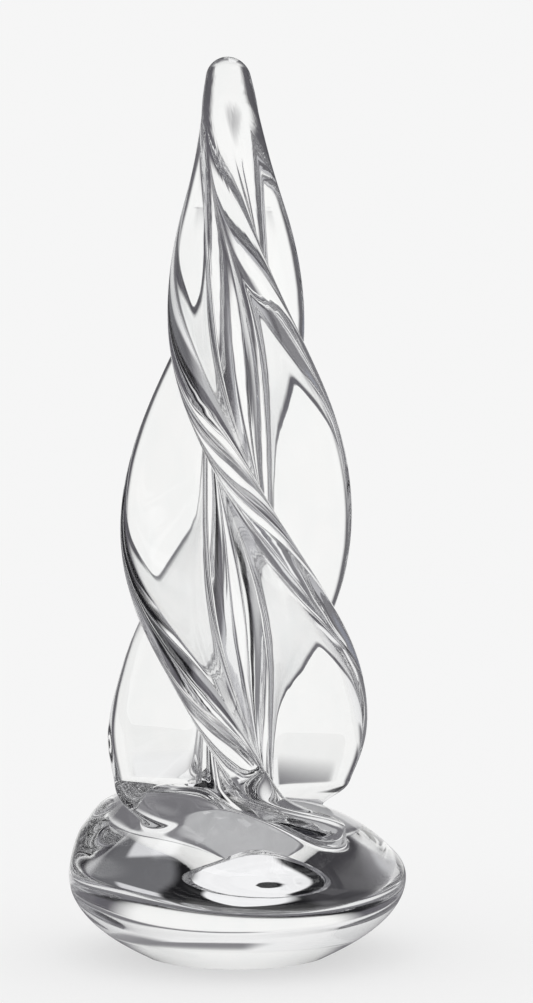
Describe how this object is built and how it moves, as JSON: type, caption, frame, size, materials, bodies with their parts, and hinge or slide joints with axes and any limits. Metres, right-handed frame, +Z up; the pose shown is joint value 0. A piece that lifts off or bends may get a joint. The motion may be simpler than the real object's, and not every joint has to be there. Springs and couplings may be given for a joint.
{
  "type": "glass tree sculpture",
  "caption": "Free-standing clear glass tree ornament: twisted round-edged fins wound about a slim core with a finger tip, on a heavy domed foot with a flat resting face.",
  "frame": {"origin": "centre of the polished resting face under the foot", "axes": "+Z up the core towards the finger tip; the pictured side faces -Y, with +X to its right"},
  "size_m": [0.0961, 0.0959, 0.2539],
  "materials": {
    "clear_glass": "fire-polished colourless solid glass, ground and polished under the foot"
  },
  "bodies": {
    "root": {"foot": "clear_glass", "core": "clear_glass", "fin_1": "clear_glass", "fin_2": "clear_glass", "fin_3": "clear_glass", "fin_4": "clear_glass"}
  },
  "joints": []
}
